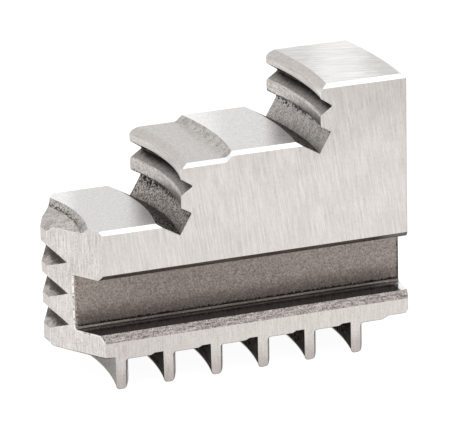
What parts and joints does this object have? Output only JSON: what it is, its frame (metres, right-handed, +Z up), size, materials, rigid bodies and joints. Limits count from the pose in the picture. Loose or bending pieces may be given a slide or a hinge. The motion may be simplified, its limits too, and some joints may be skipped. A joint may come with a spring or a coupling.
{
  "type": "lathe chuck jaw",
  "caption": "Stepped hard outside jaw of a self-centring lathe chuck, with turned serrated gripping faces, guide grooves along both sides and scroll teeth underneath.",
  "frame": {"origin": "under the middle of the jaw's length and width, at the level of the tooth tips", "axes": "+X along the jaw from its tip to its outer end, away from the chuck's axis; +Z up, out of the chuck's face; +Y across the jaw"},
  "size_m": [0.0582, 0.0228, 0.0452],
  "materials": {
    "ground_steel": "ground and partly blasted hardened steel"
  },
  "bodies": {
    "root": {"hard_jaw": "ground_steel"}
  },
  "joints": []
}
